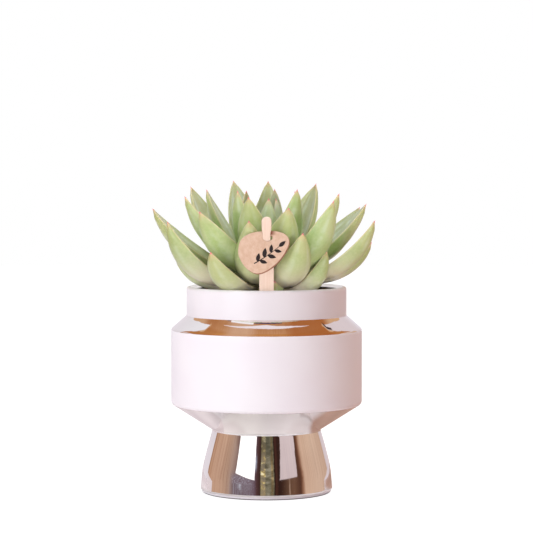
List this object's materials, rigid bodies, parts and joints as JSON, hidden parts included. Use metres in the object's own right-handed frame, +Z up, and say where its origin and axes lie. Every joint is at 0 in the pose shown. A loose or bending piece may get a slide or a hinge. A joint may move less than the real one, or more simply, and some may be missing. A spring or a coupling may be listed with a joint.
{
  "type": "potted echeveria",
  "caption": "Rosette succulent with pointed fleshy leaves in a footed ceramic cover pot, with an inner grow pot, soil, and a wooden plant stick that carries a card tag.",
  "frame": {"origin": "on the cover pot's axis, at the plane that its foot stands on", "axes": "+Z up; -Y to the front, where the plant stick and its tag are"},
  "size_m": [0.1387, 0.1271, 0.1951],
  "materials": {
    "white_glaze": "satin white glaze with a faint lavender tone on neck and belly; mirror silver on shoulder, under the belly and on the foot",
    "silver_glaze": "mirror silver glaze",
    "grow_pot_plastic": "matt, moulded",
    "soil": "loose peat with bark bits",
    "crown_bark": "green-brown, dry",
    "leaf_green": "smooth waxy skin, pink at the tips",
    "stick_wood": "raw, fine grain",
    "kraft_card": "uncoated kraft"
  },
  "bodies": {
    "root": {"cover_pot": "white_glaze", "grow_pot": "grow_pot_plastic", "soil": "soil", "crown": "crown_bark", "plant_stick": "stick_wood", "card_tag": "kraft_card", "leaf_00": "leaf_green", "leaf_01": "leaf_green", "leaf_02": "leaf_green", "leaf_03": "leaf_green", "leaf_04": "leaf_green", "leaf_05": "leaf_green", "leaf_06": "leaf_green", "leaf_07": "leaf_green", "leaf_08": "leaf_green", "leaf_09": "leaf_green", "leaf_10": "leaf_green", "leaf_11": "leaf_green", "leaf_12": "leaf_green", "leaf_13": "leaf_green", "leaf_14": "leaf_green", "leaf_15": "leaf_green", "leaf_16": "leaf_green", "leaf_17": "leaf_green", "leaf_18": "leaf_green", "leaf_19": "leaf_green", "leaf_20": "leaf_green", "leaf_21": "leaf_green", "leaf_22": "leaf_green", "leaf_23": "leaf_green", "leaf_24": "leaf_green", "leaf_25": "leaf_green", "leaf_26": "leaf_green", "leaf_27": "leaf_green", "leaf_28": "leaf_green", "leaf_29": "leaf_green", "leaf_30": "leaf_green", "leaf_31": "leaf_green", "leaf_32": "leaf_green", "leaf_33": "leaf_green", "leaf_34": "leaf_green", "leaf_35": "leaf_green", "leaf_36": "leaf_green", "leaf_37": "leaf_green", "leaf_38": "leaf_green", "leaf_39": "leaf_green", "leaf_40": "leaf_green"}
  },
  "joints": []
}
